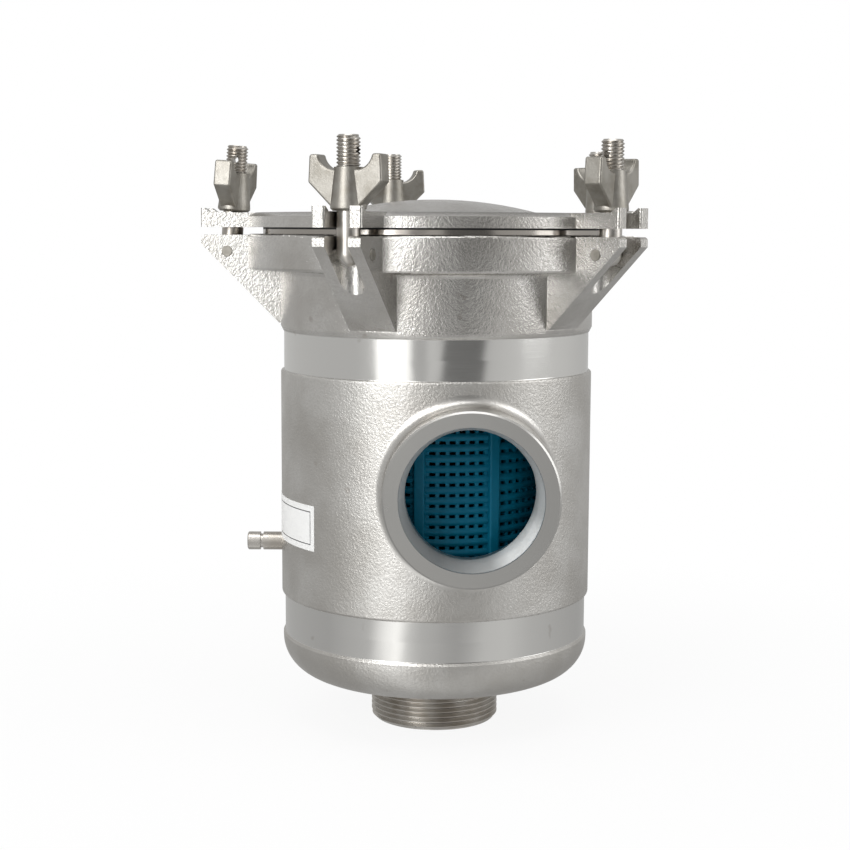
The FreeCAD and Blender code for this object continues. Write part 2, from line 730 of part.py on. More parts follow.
def build_swing_bolt(number):
    """Stud with a ball end, cross-drilled for its pivot and for a locking wire."""
    name = "swing_bolt_%d" % number
    body = new_body(name)
    base = revolve(body, name + "_rod", [
        ("0", "-bolt_diameter / 2", "0"),
        ("bolt_diameter / 2", "0"),
        ("bolt_diameter / 2", "bolt_height"),
        ("0", "bolt_height"),
    ])
    dress_edges(body, "Chamfer", name + "_end", base, ring_edge("bolt_diameter / 2", "bolt_height"),
                "bolt_end_chamfer")
    for hole, level, radius in (("eye", "0", "pin_diameter / 2 + pin_clearance"),
                                ("wire_hole", "bolt_height - bolt_wire_hole_drop",
                                 "bolt_wire_hole_diameter / 2")):
        outline = new_sketch(body, "%s_%s_outline" % (name, hole), "XZ_Plane")
        draw_circle(outline, ("0", level), radius)
        pocket(body, "%s_%s" % (name, hole), outline, "bolt_diameter + 2 * cut_margin", symmetric=True)
    body.setExpression("Placement", clamp_placement(number))


def build_wing_nut(number):
    """Wing nut: one thick blade, scalloped on top, with a tapered hub through its middle."""
    name = "wing_nut_%d" % number
    body = new_body(name)
    outline = new_sketch(body, name + "_blade_outline", "YZ_Plane")
    saddle_level = "nut_hub_height - wing_saddle_depth"
    saddle_reach = "(nut_hub_top_radius - wing_saddle_depth)"
    inner_tip = "(wing_span / 2 - wing_tip_lean - wing_tip_width)"
    draw_outline(outline, [
        ("-nut_base_flat", "wing_root_height"),
        ("nut_base_flat", "wing_root_height"),
        ("wing_span / 2", "wing_corner_height"),
        ("wing_span / 2 - wing_tip_lean", "wing_tip_height"),
        (inner_tip, "wing_tip_height", saddle_reach),
        (saddle_reach, saddle_level),
        ("-" + saddle_reach, saddle_level, "-" + saddle_reach),
        ("-" + inner_tip, "wing_tip_height"),
        ("-(wing_span / 2 - wing_tip_lean)", "wing_tip_height"),
        ("-wing_span / 2", "wing_corner_height"),
    ])
    blade = pad(body, name + "_blade", outline, "wing_thickness", symmetric=True)
    tip = value_of(inner_tip) - near

    def tip_corner(edge):
        box = edge.BoundBox
        return abs(box.Center.y) > tip and box.XLength > 1 and box.YLength < near and box.ZLength < near

    corners = dress_edges(body, "Fillet", name + "_tips", blade, tip_corner, "wing_corner_fillet")
    half = value_of("wing_thickness / 2")

    def blade_rim(edge):
        box = edge.BoundBox
        return box.XLength < near and abs(abs(box.Center.x) - half) < near

    dress_edges(body, "Fillet", name + "_rims", corners, blade_rim, "wing_edge_fillet")
    revolve(body, name + "_hub", [
        ("0", "0"),
        ("nut_base_flat", "0"),
        ("nut_base_radius", "nut_base_edge"),
        ("nut_base_radius", "nut_base_edge + nut_collar_height"),
        ("nut_hub_top_radius", "nut_hub_height"),
        ("0", "nut_hub_height"),
    ])
    bore = new_sketch(body, name + "_bore_outline", "XY_Plane")
    draw_circle(bore, ("0", "0"), "bolt_diameter / 2 + nut_bore_clearance")
    pocket(body, name + "_bore", bore, "2 * (nut_hub_height + cut_margin)", symmetric=True)
    along = "nut_rise_%d" % number
    body.setExpression("Placement", clamp_placement(number, along, "nut_turn_%d" % number))


# Basket

def build_basket_screen():
    """Slotted wall: rings between upright ribs, open at both ends."""
    body = new_body("basket_screen")
    ring = revolve(body, "screen_ring", [
        ("basket_radius - basket_wall", "screen_level"),
        ("basket_radius", "screen_level"),
        ("basket_radius", "screen_level + slot_row_pitch - slot_height"),
        ("basket_radius - basket_wall", "screen_level + slot_row_pitch - slot_height"),
    ])
    outline = new_sketch(body, "rib_outline", "XY_Plane")
    draw_outline(outline, [
        ("basket_radius - basket_wall / 2", "-basket_rib_width / 2"),
        ("basket_rib_radius", "-basket_rib_width / 2"),
        ("basket_rib_radius", "basket_rib_width / 2"),
        ("basket_radius - basket_wall / 2", "basket_rib_width / 2"),
    ])
    outline.setExpression("AttachmentOffset.Base.z", bound("screen_level"))
    rib = pad(body, "rib", outline, "basket_lid_level - screen_level")
    polar_pattern(body, "rib_pattern", [rib], "basket_rib_count")
    rows = body.newObject("PartDesign::LinearPattern", "ring_rows")
    rows.Originals = [ring]
    rows.Direction = (origin_plane(body, "Z_Axis"), [""])
    rows.setExpression("Length", bound("slot_row_pitch * slot_row_count"))
    rows.setExpression("Occurrences", bound("slot_row_count + 1"))
    body.Tip = rows
    doc.recompute()
    body.setExpression("Placement.Rotation.Angle", bound("basket_rib_azimuth - 90"))


def build_basket_lid():
    body = new_body("basket_lid")
    base = revolve(body, "lid_disc", [
        ("0", "basket_lid_level"),
        ("basket_rib_radius", "basket_lid_level"),
        ("basket_rib_radius", "basket_lid_level + basket_lid_thickness"),
        ("0", "basket_lid_level + basket_lid_thickness"),
    ])
    rim = ring_edge("basket_rib_radius", "basket_lid_level + basket_lid_thickness")
    dress_edges(body, "Fillet", "lid_rim", base, rim, "basket_lid_edge")


def build_basket_handle():
    """Bail of round wire on the basket's lid; its top lies just under the cover."""
    body = new_body("basket_handle")
    path = new_sketch(body, "handle_path", "XZ_Plane")
    foot = "basket_lid_level + basket_lid_thickness"
    top = "recess_level - handle_cover_gap - handle_wire_diameter / 2"
    draw_path(path, [("-handle_span / 2", foot), ("-handle_span / 2", top),
                     ("handle_span / 2", top), ("handle_span / 2", foot)], "handle_bend_radius")
    section = new_sketch(body, "handle_section", "XY_Plane")
    draw_circle(section, ("-handle_span / 2", "0"), "handle_wire_diameter / 2")
    section.setExpression("AttachmentOffset.Base.z", bound(foot))
    doc.recompute()
    pipe = body.newObject("PartDesign::AdditivePipe", "handle_wire")
    pipe.Profile = section
    pipe.Spine = path
    doc.recompute()


def draw_path(sketch, corners, bend):
    """Open path through corners with a tangent arc of the same radius at each inner corner."""
    points = [FreeCAD.Vector(value_of(x), value_of(y), 0) for x, y in corners]
    radius = value_of(bend)
    lines = []
    for index in range(len(points) - 1):
        start = points[index]
        stop = points[index + 1]
        step = (stop - start).normalize() * radius
        first = start + step if index else start
        last = stop - step if index < len(points) - 2 else stop
        lines.append(sketch.addGeometry(Part.LineSegment(first, last)))
    arcs = []
    for index in range(1, len(points) - 1):
        before = (points[index - 1] - points[index]).normalize() * radius
        after = (points[index + 1] - points[index]).normalize() * radius
        centre = points[index] + before + after
        circle = Part.Circle(centre, FreeCAD.Vector(0, 0, 1), radius)
        first = math.atan2(-after.y, -after.x)
        last = math.atan2(-before.y, -before.x)
        arcs.append(sketch.addGeometry(Part.ArcOfCircle(circle, last, first)))
        sketch.addConstraint(Sketcher.Constraint("Tangent", lines[index - 1], 2, arcs[-1], 2))
        sketch.addConstraint(Sketcher.Constraint("Tangent", arcs[-1], 1, lines[index], 1))
        number = sketch.addConstraint(Sketcher.Constraint("Radius", arcs[-1], radius))
        sketch.setExpression("Constraints[%d]" % number, bound(bend))
    sketch.addConstraint(Sketcher.Constraint("Vertical", lines[0]))
    sketch.addConstraint(Sketcher.Constraint("Horizontal", lines[1]))
    sketch.addConstraint(Sketcher.Constraint("Vertical", lines[2]))
    pin_point(sketch, lines[0], 1, corners[0])
    pin_point(sketch, lines[2], 2, corners[3])
    number = sketch.addConstraint(Sketcher.Constraint("DistanceY", -1, 1, lines[1], 1, points[1].y))
    sketch.setExpression("Constraints[%d]" % number, bound(corners[1][1]))


def check_model():
    """Stop if any object failed or any sub-part isn't a valid solid."""
    for item in doc.Objects:
        if "Invalid" in item.State or "Error" in item.State:
            raise RuntimeError("%s: %s" % (item.Name, item.getStatusString()))
    bodies = [item for item in doc.Objects if item.isDerivedFrom("PartDesign::Body")]
    for body in bodies:
        if body.Shape.isNull() or not body.Shape.isValid() or not body.Shape.Solids:
            raise RuntimeError(body.Label + " has no valid solid")
    return bodies


build_outlet_nipple()
build_bottom_cap()
build_body_casting()
build_neck_casting()
build_inlet_socket()
build_bonding_boss()
build_bonding_washer()
build_bonding_screw()
build_cover()
build_ring("cover_gasket", "joint_face_radius - gasket_width", "joint_face_radius",
           "joint_face_level", "cover_level")
build_ring("outlet_seal", "outlet_radius", "seat_rim_radius - seal_margin", "seat_level", "basket_level")
build_ring("basket_base", "outlet_bore_diameter / 2 + basket_base_hole_margin", "basket_rib_radius",
           "basket_level", "screen_level")
build_basket_screen()
build_basket_lid()
build_basket_handle()
for clamp in range(1, int(value_of("clamp_count")) + 1):
    build_pivot_pin(clamp)
    build_swing_bolt(clamp)
    build_wing_nut(clamp)
doc.recompute()

os.makedirs("parts", exist_ok=True)
for body in check_model():
    body.Shape.exportStep("parts/%s.step" % body.Label)
    box = body.Shape.BoundBox
    print(body.Label, len(body.Shape.Solids), round(body.Shape.Volume), round(box.ZMin, 2), round(box.ZMax, 2))
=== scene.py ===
import bmesh
import bpy
import json
import math
from mathutils import Matrix, Vector


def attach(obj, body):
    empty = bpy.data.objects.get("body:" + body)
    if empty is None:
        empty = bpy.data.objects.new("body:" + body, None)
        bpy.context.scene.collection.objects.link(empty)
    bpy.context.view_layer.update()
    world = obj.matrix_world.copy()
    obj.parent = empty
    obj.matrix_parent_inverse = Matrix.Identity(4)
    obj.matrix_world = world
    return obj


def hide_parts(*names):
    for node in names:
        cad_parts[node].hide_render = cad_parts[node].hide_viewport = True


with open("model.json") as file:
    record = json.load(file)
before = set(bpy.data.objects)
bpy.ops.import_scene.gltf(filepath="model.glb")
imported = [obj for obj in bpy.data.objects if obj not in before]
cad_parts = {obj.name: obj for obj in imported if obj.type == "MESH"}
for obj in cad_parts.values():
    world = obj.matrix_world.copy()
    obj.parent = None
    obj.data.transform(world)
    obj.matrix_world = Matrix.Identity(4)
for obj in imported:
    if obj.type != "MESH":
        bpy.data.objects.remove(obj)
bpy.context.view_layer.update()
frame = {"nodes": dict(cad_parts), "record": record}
nodes = frame["nodes"]
print("frame loaded:", len(nodes), "nodes")

mm = 0.001


# shader wiring

class Wire:
    def __init__(self, board, socket):
        self.board = board
        self.socket = socket

    def __add__(self, other):
        return self.board.maths("ADD", self, other)

    def __radd__(self, other):
        return self.board.maths("ADD", other, self)

    def __sub__(self, other):
        return self.board.maths("SUBTRACT", self, other)

    def __rsub__(self, other):
        return self.board.maths("SUBTRACT", other, self)

    def __mul__(self, other):
        return self.board.maths("MULTIPLY", self, other)

    def __rmul__(self, other):
        return self.board.maths("MULTIPLY", other, self)


class Board:
    def __init__(self, tree):
        self.tree = tree
        tree.nodes.clear()

    def node(self, kind, settings=None, inputs=None, output=0):
        made = self.tree.nodes.new(kind)
        for name, value in (settings or {}).items():
            if name == "stops":
                self.setStops(made.color_ramp, value)
            else:
                setattr(made, name, value)
        for name, value in (inputs or {}).items():
            if isinstance(value, Wire):
                self.tree.links.new(value.socket, made.inputs[name])
            else:
                made.inputs[name].default_value = value
        return Wire(self, made.outputs[output] if made.outputs else None)

    def setStops(self, ramp, stops):
        while len(ramp.elements) < len(stops):
            ramp.elements.new(1.0)
        for element, (place, colour) in zip(ramp.elements, stops):
            element.position = place
            element.color = (*colour, 1.0)

    def maths(self, operation, *values):
        return self.node("ShaderNodeMath", {"operation": operation}, dict(enumerate(values)))

    def smoothStep(self, value, low, high):
        return self.node("ShaderNodeMapRange", {"interpolation_type": "SMOOTHSTEP"},
                         {"Value": value, "From Min": low, "From Max": high})

    def within(self, value, low, high, soft):
        above = self.smoothStep(value, low - soft, low + soft)
        return above * (1 - self.smoothStep(value, high - soft, high + soft))

    def mixColour(self, factor, first, second):
        return self.node("ShaderNodeMix", {"data_type": "RGBA"}, {0: factor, 6: first, 7: second}, output=2)

    def noise(self, coords, scale, detail=2.0, roughness=0.5):
        return self.node("ShaderNodeTexNoise", None,
                         {"Vector": coords, "Scale": scale, "Detail": detail, "Roughness": roughness})

    def rampRound(self, turn, levels, tint):
        # a colour by the angle turn, from pairs of an angle in degrees and a brightness
        share = self.node("ShaderNodeMapRange", None,
                          {"Value": turn, "From Min": -math.pi, "From Max": math.pi})
        stops = [((angle + 180) / 360, [level * part for part in tint]) for angle, level in levels]
        return self.node("ShaderNodeValToRGB", {"stops": stops}, {0: share})

    def bump(self, height, strength, distance):
        return self.node("ShaderNodeBump", None,
                         {"Height": height, "Strength": strength, "Distance": distance})


def newMaterial(name, paint):
    material = bpy.data.materials.new(name)
    material.use_nodes = True
    board = Board(material.node_tree)
    coords = objectCoords(board)
    shader = board.node("ShaderNodeBsdfPrincipled", None, paint(board, coords))
    board.node("ShaderNodeOutputMaterial", None, {"Surface": shader})
    return material


def objectCoords(board):
    return board.node("ShaderNodeTexCoord", output=3)


def axisPlaces(board, coords):
    return [board.node("ShaderNodeSeparateXYZ", None, {0: coords}, output=axis) for axis in range(3)]


def distanceFrom(board, first, second):
    return board.maths("SQRT", first * first + second * second)


def rgba(*colour):
    return (*colour, 1.0)


def blended(factor, first, second):
    return (1 - factor) * first + factor * second


def varied(amounts, pattern):
    # a base value, and what the pattern adds to it at most
    base, swing = amounts
    return base + pattern * swing


def clouded(board, pattern, finish):
    return board.mixColour(board.smoothStep(pattern, *finish["cloudEdge"]), finish["light"], finish["dark"])


# materials; a noise is given by its scale, detail and roughness, a bump by its strength and distance

castFinish = {
    "light": rgba(0.64, 0.63, 0.61),
    "dark": rgba(0.50, 0.485, 0.46),
    "bright": rgba(0.68, 0.675, 0.66),  # on the turned bands
    "joint": rgba(0.40, 0.375, 0.345),
    "stain": rgba(0.22, 0.17, 0.12),
    "grain": (850, 3.0, 0.65),
    "peel": (330, 2.0),
    "blotch": (28, 3.0, 0.6),
    "spots": (75, 2.0, 0.7),
    "latheScale": (30, 30, 4200),  # draws the noise out into turning marks
    "latheMarks": (1.0, 2.0),
    "cloudEdge": (0.3, 0.7),
    "speckleEdge": (0.45, 0.62),
    "speckleShare": 0.3,
    "stainEdge": (0.69, 0.75),
    "stainShare": 0.22,
    "bands": [(42.8 * mm, 60.9 * mm), (165.2 * mm, 183.1 * mm)],
    "bandSoft": 0.25 * mm,
    "bandWall": (68 * mm, 69 * mm),
    "jointFace": (227.1 * mm, 229.3 * mm),
    "jointSoft": 0.1 * mm,
    "jointWall": (78 * mm, 79 * mm),
    "neckFoot": (183 * mm, 185 * mm),
    "neckPolish": 0.15,
    "castRoughness": (0.33, 0.1),
    "turnedRoughness": (0.10, 0.08),
    "relief": (0.15, 0.85, 0.04),  # heights of the peel, the grain and the turning marks
    "bump": (0.85, 0.32 * mm),
}


def castGrain(board, coords):
    return [board.noise(coords, *castFinish[pattern]) for pattern in ("grain", "peel", "blotch")]


def castRelief(grain, peel, marks, turned, relief):
    peelHeight, grainHeight, marksHeight = relief
    return (peel * peelHeight + grain * grainHeight) * (1 - turned) + marks * turned * marksHeight


def paintVessel(board, coords):
    x, y, z = axisPlaces(board, coords)
    radius = distanceFrom(board, x, y)
    grain, peel, blotch = castGrain(board, coords)
    bands = 0.0
    for low, high in castFinish["bands"]:
        bands = bands + board.within(z, low, high, castFinish["bandSoft"])
    bands = bands * board.smoothStep(radius, *castFinish["bandWall"])
    joint = board.within(z, *castFinish["jointFace"], castFinish["jointSoft"])
    joint = joint * board.smoothStep(radius, *castFinish["jointWall"])
    turned = board.maths("MAXIMUM", bands, joint)
    stretched = board.node("ShaderNodeMapping", None, {"Vector": coords, "Scale": castFinish["latheScale"]})
    marks = board.noise(stretched, *castFinish["latheMarks"])
    spots = board.noise(coords, *castFinish["spots"])
    stain = board.smoothStep(spots, *castFinish["stainEdge"]) * castFinish["stainShare"]
    speckle = board.smoothStep(grain, *castFinish["speckleEdge"]) * castFinish["speckleShare"]
    cast = board.mixColour(speckle, clouded(board, blotch, castFinish), castFinish["dark"])
    machined = board.mixColour(joint, castFinish["bright"], castFinish["joint"])
    clean = board.mixColour(turned, cast, machined)
    neck = board.smoothStep(z, *castFinish["neckFoot"])
    rough = varied(castFinish["castRoughness"], grain) - neck * castFinish["neckPolish"]
    return {"Base Color": board.mixColour(stain, clean, castFinish["stain"]), "Metallic": 1.0,
            "Roughness": blended(turned, rough, varied(castFinish["turnedRoughness"], blotch)),
            "Normal": board.bump(castRelief(grain, peel, marks, turned, castFinish["relief"]),
                                 *castFinish["bump"])}


socketFinish = {
    "axisPlace": 15.2 * mm,
    "axisHeight": 117 * mm,
    "boreWall": (30.6 * mm, 30.9 * mm),
    "mouthWall": (36.6 * mm, 37.2 * mm),
    "faceReach": (83.0 * mm, 86.0 * mm),
    # the machined face ring, given a darker colour than the turned bands as painted shade
    "face": rgba(0.50, 0.495, 0.48),
    # tint of the bore's painted reflection, a colour that stands in for light and shade
    "borePaintedReflectionTint": (1.0, 1.0, 0.98),
    "borePaintedReflection": [
        # painted reflection round the bore, by the angle from +X towards the top: a painted highlight at
        # the lower right, painted shade at the lower left
        (-180, 0.46), (-150, 0.34), (-118, 0.24), (-98, 0.34), (-74, 0.50), (-56, 1.0), (-28, 1.0),
        (-14, 0.62), (25, 0.56), (90, 0.42), (150, 0.50),
    ],
    "boreMatt": 0.8,
    "ringScale": (2600, 900),  # turning marks, outwards on the face and along the bore
    "castRoughness": (0.28, 0.1),
    "turnedRoughness": (0.22, 0.16),
    "relief": (0.15, 0.35, 0.07),
    "bump": (0.7, 0.32 * mm),
}


def paintSocket(board, coords):
    x, y, z = axisPlaces(board, coords)
    across = x - socketFinish["axisPlace"]
    upright = z - socketFinish["axisHeight"]
    radius = distanceFrom(board, across, upright)
    grain, peel, blotch = castGrain(board, coords)
    inside = 1 - board.smoothStep(radius, *socketFinish["mouthWall"])
    nearFace = board.smoothStep(y * -1, *socketFinish["faceReach"])
    turned = board.maths("MAXIMUM", inside, nearFace)
    bore = 1 - board.smoothStep(radius, *socketFinish["boreWall"])
    # the bore's colour is a painted reflection: a painted highlight and painted shade set by the angle
    # round it
    angle = board.maths("ARCTAN2", upright, across)
    paintedBoreReflection = board.rampRound(angle, socketFinish["borePaintedReflection"], socketFinish["borePaintedReflectionTint"])
    outwards, along = socketFinish["ringScale"]
    ringCoords = board.node("ShaderNodeCombineXYZ", None, {0: radius * outwards, 1: y * along})
    rings = board.noise(ringCoords, 1.0)
    # the face ring with its painted shade, and the bore with its painted reflection
    machined = board.mixColour(bore, socketFinish["face"], paintedBoreReflection)
    rough = blended(turned, varied(socketFinish["castRoughness"], grain),
                    varied(socketFinish["turnedRoughness"], blotch))
    return {"Base Color": board.mixColour(turned, clouded(board, blotch, castFinish), machined),
            "Metallic": 1 - bore * socketFinish["boreMatt"], "Roughness": rough,
            "Normal": board.bump(castRelief(grain, peel, rings, turned, socketFinish["relief"]),
                                 *socketFinish["bump"])}


turnedFinish = {
    "light": rgba(0.56, 0.54, 0.51),
    "dark": rgba(0.44, 0.41, 0.37),
    "blotch": (90, 2.0),
    "fine": (1500, 2.0),
    "cloudEdge": (0.35, 0.7),
    "roughness": (0.22, 0.14),
    "bump": (0.25, 0.05 * mm),
}


def paintTurned(board, coords):
    blotch = board.noise(coords, *turnedFinish["blotch"])
    fine = board.noise(coords, *turnedFinish["fine"])
    return {"Base Color": clouded(board, blotch, turnedFinish), "Metallic": 1.0,
            "Roughness": varied(turnedFinish["roughness"], blotch),
            "Normal": board.bump(fine, *turnedFinish["bump"])}


wingNutFinish = {
    "light": rgba(0.36, 0.345, 0.315),
    "dark": rgba(0.27, 0.255, 0.225),
    "blotch": (120, 3.0, 0.6),
    "grain": (1300, 3.0, 0.6),
    "cloudEdge": (0.35, 0.7),
    "roughness": (0.34, 0.16),
    "relief": (0.7, 0.3),  # heights of the grain and the blotches
    "bump": (0.5, 0.2 * mm),
}


def paintWingNut(board, coords):
    blotch = board.noise(coords, *wingNutFinish["blotch"])
    grain = board.noise(coords, *wingNutFinish["grain"])
    grainHeight, blotchHeight = wingNutFinish["relief"]
    return {"Base Color": clouded(board, blotch, wingNutFinish), "Metallic": 1.0,
            "Roughness": varied(wingNutFinish["roughness"], grain),
            "Normal": board.bump(grain * grainHeight + blotch * blotchHeight, *wingNutFinish["bump"])}


sealFinish = {
    "rubber": rgba(0.018, 0.018, 0.019),
    "fine": (2200, 2.0),
    "roughness": (0.45, 0.25),
    "bump": (0.2, 0.05 * mm),
}


def paintSeal(board, coords):
    fine = board.noise(coords, *sealFinish["fine"])
    return {"Base Color": sealFinish["rubber"], "Roughness": varied(sealFinish["roughness"], fine),
            "Normal": board.bump(fine, *sealFinish["bump"])}


basketFinish = {
    "deep": rgba(0.0, 0.105, 0.185),
    "pale": rgba(0.0, 0.14, 0.23),
    "broad": (45, 2.0),
    "fine": (1600, 2.0),
    "roughness": (0.42, 0.12),
    "specular": 0.2,
    "bump": (0.15, 0.04 * mm),
}


def paintBasket(board, coords):
    broad = board.noise(coords, *basketFinish["broad"])
    fine = board.noise(coords, *basketFinish["fine"])
    return {"Base Color": board.mixColour(broad, basketFinish["deep"], basketFinish["pale"]),
            "Roughness": varied(basketFinish["roughness"], fine),
            "Specular IOR Level": basketFinish["specular"],
            "Normal": board.bump(fine, *basketFinish["bump"])}


sticker = {
    "azimuths": (-96, -48),
    "heights": (87.3 * mm, 107.6 * mm),
    "radius": 72.0 * mm,
    "thickness": 0.16 * mm,
    "paperShare": 0.9,  # the rest keeps its back off the wall
    "steps": 40,
    "frameInset": 2.6 * mm,
    "frameWidth": 0.45 * mm,
    "frameSoft": 0.06 * mm,
    "frame": rgba(0.05, 0.05, 0.055),
    "paper": (rgba(0.80, 0.80, 0.79), rgba(0.73, 0.73, 0.72)),
    "fibre": (1800, 2.0),
    "roughness": (0.4, 0.15),
    "bump": (0.1, 0.02 * mm),
}


def paintSticker(board, coords):
    x, y, z = axisPlaces(board, coords)
    around = board.maths("ARCTAN2", x, y * -1) * sticker["radius"]
    left, right = (math.radians(side) * sticker["radius"] for side in sticker["azimuths"])
    low, high = sticker["heights"]
    soft = sticker["frameSoft"]
    outer, inner = (board.within(around, left + inset, right - inset, soft)
                    * board.within(z, low + inset, high - inset, soft)
                    for inset in (sticker["frameInset"], sticker["frameInset"] + sticker["frameWidth"]))
    fibre = board.noise(coords, *sticker["fibre"])
    paper = board.mixColour(fibre, *sticker["paper"])
    return {"Base Color": board.mixColour(outer - inner, paper, sticker["frame"]),
            "Roughness": varied(sticker["roughness"], fibre), "Normal": board.bump(fibre, *sticker["bump"])}


finishes = {
    "vessel": newMaterial("castVessel", paintVessel),
    "socket": newMaterial("castSocket", paintSocket),
    "turned": newMaterial("turnedSteel", paintTurned),
    "wingNut": newMaterial("satinWingNut", paintWingNut),
    "seal": newMaterial("blackSeal", paintSeal),
    "basket": newMaterial("blueBasket", paintBasket),
    "sticker": newMaterial("stickerPaper", paintSticker),
}
print("materials made:", len(finishes))


# small mesh helpers

def meshFrom(name, bm):
    mesh = bpy.data.meshes.new(name)
    bm.to_mesh(mesh)
    bm.free()
    return mesh


def addObject(name, data):
    made = bpy.data.objects.new(name, data)
    bpy.context.scene.collection.objects.link(made)
    return made


def newPiece(name, bm, finish, body, slotName, *replaced, sharpAngle=35):
    bmesh.ops.recalc_face_normals(bm, faces=bm.faces)
    placeMesh(name, meshFrom(name, bm), finish, body, slotName, *replaced, sharpAngle=sharpAngle)


def placeMesh(name, mesh, finish, body, slotName, *replaced, sharpAngle=35):
    mesh.shade_smooth()
    mesh.set_sharp_from_angle(angle=math.radians(sharpAngle))
    piece = addObject(name, mesh)
    mesh.materials.clear()
    mesh.materials.append(finishes[finish])
    weighted = piece.modifiers.new("weighted", "WEIGHTED_NORMAL")
    weighted.keep_sharp = True
    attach(piece, body)
    if replaced:
        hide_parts(*replaced)


def smoothCopy(nodeName, finish, body, slotName):
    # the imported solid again, with its points merged so that it shades smoothly
    bm = bmesh.new()
    bm.from_mesh(nodes[nodeName].data)
    bmesh.ops.remove_doubles(bm, verts=bm.verts, dist=0.002 * mm)
    mesh = meshFrom(nodeName + "Skin", bm)
    for stale in ("custom_normal", "sharp_edge"):  # they belong to the loose triangles
        if stale in mesh.attributes:
            mesh.attributes.remove(mesh.attributes[stale])
    words = nodeName.split("_")
    name = words[0] + "".join(word.capitalize() for word in words[1:]) + "Skin"
    placeMesh(name, mesh, finish, body, slotName, nodeName)


def boundaryAt(bm, height, tolerance=0.004 * mm):
    return [edge for edge in bm.edges if edge.is_boundary
            and all(abs(vert.co.z - height) < tolerance for vert in edge.verts)]


def addRing(bm, radius, height, sides):
    made = bmesh.ops.create_circle(bm, cap_ends=False, radius=radius, segments=sides,
                                   matrix=Matrix.Translation((0, 0, height)))
    verts = made["verts"]
    return [edge for edge in bm.edges if edge.verts[0] in verts and edge.verts[1] in verts]


def bridge(bm, first, second):
    bmesh.ops.bridge_loops(bm, edges=first + second)


def trimRadius(bm, limitAt):
    # draws in what stands out further than limitAt allows at its height
    for vert in bm.verts:
        limit = limitAt(vert.co.z)
        reach = math.hypot(vert.co.x, vert.co.y)
        if reach > limit:
            vert.co.x *= limit / reach
            vert.co.y *= limit / reach


threadForm = {
    # shares of one pitch
    "riseEnd": 0.40,
    "crestEnd": 0.56,
    "fallEnd": 0.96,
    "startBelow": 1.5,
    "merge": 0.01,
}


def helicalSkin(bm, thread):
    # one pitch of the thread's profile, swept up a helix and cut level at both ends
    pitch = thread["pitch"]
    crest = thread["radius"]
    root = crest - thread["depth"]
    start = thread["low"] - threadForm["startBelow"] * pitch
    turns = math.ceil((thread["high"] - start) / pitch) + 1
    profile = [(root, 0.0), (crest, threadForm["riseEnd"]), (crest, threadForm["crestEnd"]),
               (root, threadForm["fallEnd"]), (root, 1.0)]
    verts = [bm.verts.new((radius, 0, start + share * pitch)) for radius, share in profile]
    edges = [bm.edges.new(pair) for pair in zip(verts, verts[1:])]
    sides = thread["sides"]
    bmesh.ops.spin(bm, geom=verts + edges, axis=(0, 0, 1), cent=(0, 0, 0), dvec=(0, 0, pitch / sides),
                   angle=math.tau * turns, steps=sides * turns, use_merge=False)
    bmesh.ops.remove_doubles(bm, verts=bm.verts, dist=pitch * threadForm["merge"])
    for height, normal in ((thread["low"], (0, 0, -1)), (thread["high"], (0, 0, 1))):
        bmesh.ops.bisect_plane(bm, geom=bm.verts[:] + bm.edges[:] + bm.faces[:], dist=0.001 * mm,
                               plane_co=(0, 0, height), plane_no=normal, clear_outer=True)


# threaded outlet

outletThread = {
    "radius": 29.807 * mm,
    "depth": 1.35 * mm,
    "pitch": 2.309 * mm,
    "low": 0.0,
    "high": 21.8 * mm,
    "lead": 1.6 * mm,
    "sides": 96,
    "spigot": 28.3 * mm,
    "bore": 25.5 * mm,
    "inner": 33.0 * mm,
}


def makeOutlet():
    bm = bmesh.new()
    helicalSkin(bm, outletThread)
    low, high, inner = outletThread["low"], outletThread["high"], outletThread["inner"]
    bottom = boundaryAt(bm, low)
    top = boundaryAt(bm, high)
    trimRadius(bm, lambda z: outletThread["radius"] - max(0.0, outletThread["lead"] - z))
    sides = outletThread["sides"]
    boreFoot = addRing(bm, outletThread["bore"], low, sides)
    boreHead = addRing(bm, outletThread["bore"], inner, sides)
    shoulder = addRing(bm, outletThread["spigot"], high, sides)
    shoulderHead = addRing(bm, outletThread["spigot"], inner, sides)
    rings = [bottom, boreFoot, boreHead, shoulderHead, shoulder, top]
    for first, second in zip(rings, rings[1:]):
        bridge(bm, first, second)
    newPiece("outletThread", bm, "turned", "housing", "turned_steel", "outlet_nipple")


makeOutlet()
print("outlet thread made")


# swing bolts

clamps = {
    # in the order of their numbers: place round the vessel and lean of the bolt, in degrees
    "azimuths": [50, 122, 194, 266, 338],
    "leans": [-0.8, 3.4, 0.0, 4.0, 0.0],
    "pinRadius": 96 * mm,
    "pinHeight": 219 * mm,
}

boltShape = {
    "radius": 4.95 * mm,
    "depth": 0.75 * mm,
    "pitch": 1.5 * mm,
    "low": 18.0 * mm,
    "high": 48.5 * mm,
    "sides": 32,
    "endChamfer": 0.9 * mm,
    "ballAngles": (18, 36, 54, 72),
    "eye": 2.55 * mm,
    "wireHole": 1.5 * mm,
    "wireHoleHeight": 42.0 * mm,
    "holeSides": 24,
    "sharpAngle": 25,
}


def clampMatrix(index):
    azimuth = math.radians(clamps["azimuths"][index])
    place = Vector((math.sin(azimuth), -math.cos(azimuth), 0)) * clamps["pinRadius"]
    place.z = clamps["pinHeight"]
    turn = Matrix.Rotation(azimuth - math.pi / 2, 4, "Z")
    lean = Matrix.Rotation(-math.radians(clamps["leans"][index]), 4, "Y")
    return Matrix.Translation(place) @ turn @ lean


def crossHole(name, radius, height):
    bm = bmesh.new()
    matrix = Matrix.Translation((0, 0, height)) @ Matrix.Rotation(math.pi / 2, 4, "X")
    bmesh.ops.create_cone(bm, cap_ends=True, segments=boltShape["holeSides"], radius1=radius,
                          radius2=radius, depth=boltShape["radius"] * 4, matrix=matrix)
    return addObject(name, meshFrom(name, bm))


